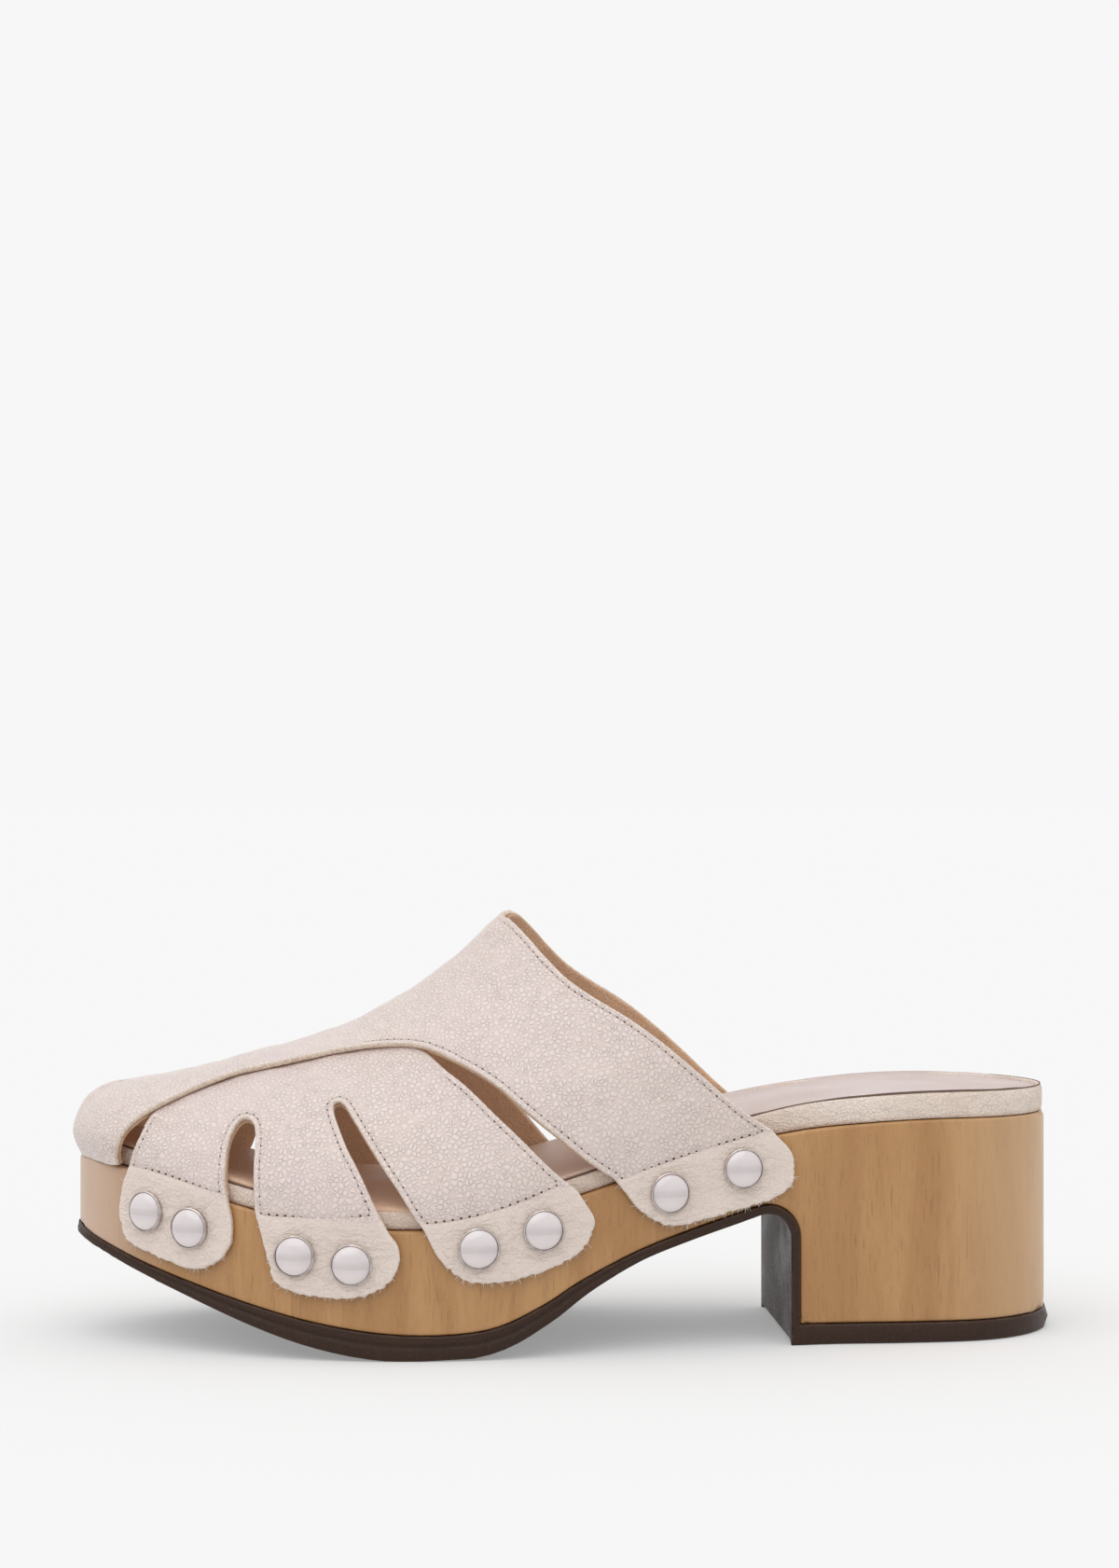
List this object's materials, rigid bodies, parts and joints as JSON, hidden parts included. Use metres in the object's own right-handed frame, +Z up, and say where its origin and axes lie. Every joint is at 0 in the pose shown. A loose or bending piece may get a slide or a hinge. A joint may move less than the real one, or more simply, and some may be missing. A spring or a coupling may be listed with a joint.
{
  "type": "wooden clog",
  "caption": "Open-backed wooden clog with a block heel, a cut-out leather upper nailed to the sole by pearl-capped studs, a padded footbed and a moulded outsole.",
  "frame": {"origin": "on the floor, under the middle of the clog's box", "axes": "+X from the toe to the heel, +Z up, the lateral side of this left shoe at -Y"},
  "size_m": [0.2528, 0.1, 0.1067],
  "materials": {
    "wood": "matt oiled alder with a fine vertical figure",
    "rubber": "matt dark brown moulded rubber",
    "upper_leather": "pebbled, slightly pearly blush leather",
    "lining_suede": "matt tan suede",
    "foam": "matt padding, out of sight",
    "rand_leather": "smooth beige leather, satin",
    "sock_leather": "smooth blush leather, satin",
    "stud_metal": "pale polished metal",
    "pearl": "glossy pearl"
  },
  "bodies": {
    "root": {"footbed_foam": "foam", "footbed_rand": "rand_leather", "footbed_sock": "sock_leather", "outsole": "rubber", "side_lining_lateral": "lining_suede", "side_lining_medial": "lining_suede", "side_panel_lateral": "upper_leather", "side_panel_medial": "upper_leather", "stud_nail_lateral_1": "stud_metal", "stud_nail_lateral_2": "stud_metal", "stud_nail_lateral_3": "stud_metal", "stud_nail_lateral_4": "stud_metal", "stud_nail_lateral_5": "stud_metal", "stud_nail_lateral_6": "stud_metal", "stud_nail_lateral_7": "stud_metal", "stud_nail_lateral_8": "stud_metal", "stud_nail_medial_1": "stud_metal", "stud_nail_medial_2": "stud_metal", "stud_nail_medial_3": "stud_metal", "stud_nail_medial_4": "stud_metal", "stud_nail_medial_5": "stud_metal", "stud_nail_medial_6": "stud_metal", "stud_nail_medial_7": "stud_metal", "stud_nail_medial_8": "stud_metal", "stud_pearl_lateral_1": "pearl", "stud_pearl_lateral_2": "pearl", "stud_pearl_lateral_3": "pearl", "stud_pearl_lateral_4": "pearl", "stud_pearl_lateral_5": "pearl", "stud_pearl_lateral_6": "pearl", "stud_pearl_lateral_7": "pearl", "stud_pearl_lateral_8": "pearl", "stud_pearl_medial_1": "pearl", "stud_pearl_medial_2": "pearl", "stud_pearl_medial_3": "pearl", "stud_pearl_medial_4": "pearl", "stud_pearl_medial_5": "pearl", "stud_pearl_medial_6": "pearl", "stud_pearl_medial_7": "pearl", "stud_pearl_medial_8": "pearl", "vamp": "upper_leather", "vamp_lining": "lining_suede", "wood_base": "wood"}
  },
  "joints": []
}
